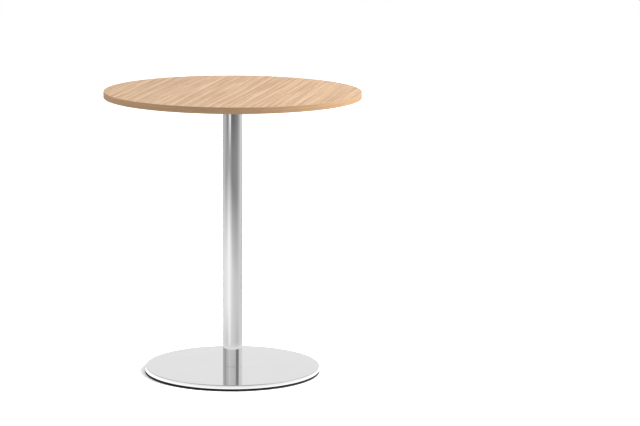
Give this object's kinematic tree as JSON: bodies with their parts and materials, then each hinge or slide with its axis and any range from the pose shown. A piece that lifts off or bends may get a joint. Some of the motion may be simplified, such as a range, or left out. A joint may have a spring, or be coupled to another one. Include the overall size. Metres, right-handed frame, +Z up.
{
  "type": "standing meeting table",
  "caption": "Standing-height round meeting table with an oak-veneered top, a slim chromed column and a flat polished disc base on levelling glides.",
  "frame": {"origin": "on the floor, under the middle of the table, with the glides screwed fully in", "axes": "+Z up, along the column, to the working surface; the arms of the top spider lie along X and Y, and -Y is the side seen from the front"},
  "size_m": [1, 1, 1.11],
  "materials": {
    "oak_face": "light oak veneer, satin lacquer, straight grain all one way",
    "oak_edge": "oak lipping, satin lacquer, grain along the edge",
    "oak_backing": "plain oak backing veneer, matt",
    "chipboard": "raw chipboard, seen only inside the screw holes",
    "cast_aluminium": "fine sand-cast skin, bead blasted",
    "polished_chrome": "bright chrome plate",
    "polished_steel": "polished stainless steel sheet, slightly softer than the column",
    "painted_ballast": "black powder coat",
    "zinc_plated_steel": "bright zinc plate",
    "turned_steel": "fine turning marks, oiled",
    "glide_nylon": "black moulded nylon"
  },
  "bodies": {
    "table": {"top_core": "chipboard", "top_face_veneer": "oak_face", "top_backing_veneer": "oak_backing", "top_edge_band": "oak_edge", "top_inserts": "zinc_plated_steel", "spider_screws": "zinc_plated_steel", "top_spider": "cast_aluminium", "head_washer": "zinc_plated_steel", "head_nut": "zinc_plated_steel", "tie_rod": "zinc_plated_steel", "column_tube": "polished_chrome", "column_foot_spigot": "turned_steel", "base_cover": "polished_steel", "base_plate": "painted_ballast", "foot_washer": "zinc_plated_steel", "foot_nut": "zinc_plated_steel"},
    "glide_1": {"glide_pad_1": "glide_nylon"},
    "glide_1_stud": {"glide_stud_1": "zinc_plated_steel"},
    "glide_2": {"glide_pad_2": "glide_nylon"},
    "glide_2_stud": {"glide_stud_2": "zinc_plated_steel"},
    "glide_3": {"glide_pad_3": "glide_nylon"},
    "glide_3_stud": {"glide_stud_3": "zinc_plated_steel"},
    "glide_4": {"glide_pad_4": "glide_nylon"},
    "glide_4_stud": {"glide_stud_4": "zinc_plated_steel"}
  },
  "joints": [
    {"name": "glide_1_lift", "type": "slide", "parent": "table", "child": "glide_1", "axis": [0, 0, -1], "range_m": [0, 0.005]},
    {"name": "glide_1_turn", "type": "hinge", "parent": "glide_1", "child": "glide_1_stud", "pos_m": [0.20683, 0.20683, 0.01], "axis": [0, 0, -1], "range_deg": [0, 1440]},
    {"name": "glide_2_lift", "type": "slide", "parent": "table", "child": "glide_2", "axis": [0, 0, -1], "range_m": [0, 0.005]},
    {"name": "glide_2_turn", "type": "hinge", "parent": "glide_2", "child": "glide_2_stud", "pos_m": [-0.20683, 0.20683, 0.01], "axis": [0, 0, -1], "range_deg": [0, 1440]},
    {"name": "glide_3_lift", "type": "slide", "parent": "table", "child": "glide_3", "axis": [0, 0, -1], "range_m": [0, 0.005]},
    {"name": "glide_3_turn", "type": "hinge", "parent": "glide_3", "child": "glide_3_stud", "pos_m": [-0.20683, -0.20683, 0.01], "axis": [0, 0, -1], "range_deg": [0, 1440]},
    {"name": "glide_4_lift", "type": "slide", "parent": "table", "child": "glide_4", "axis": [0, 0, -1], "range_m": [0, 0.005]},
    {"name": "glide_4_turn", "type": "hinge", "parent": "glide_4", "child": "glide_4_stud", "pos_m": [0.20683, -0.20683, 0.01], "axis": [0, 0, -1], "range_deg": [0, 1440]}
  ],
  "couplings": [
    {"joint": "glide_1_lift", "follows": "glide_1_turn", "m_per_rad": 0.00019894},
    {"joint": "glide_2_lift", "follows": "glide_2_turn", "m_per_rad": 0.00019894},
    {"joint": "glide_3_lift", "follows": "glide_3_turn", "m_per_rad": 0.00019894},
    {"joint": "glide_4_lift", "follows": "glide_4_turn", "m_per_rad": 0.00019894}
  ]
}
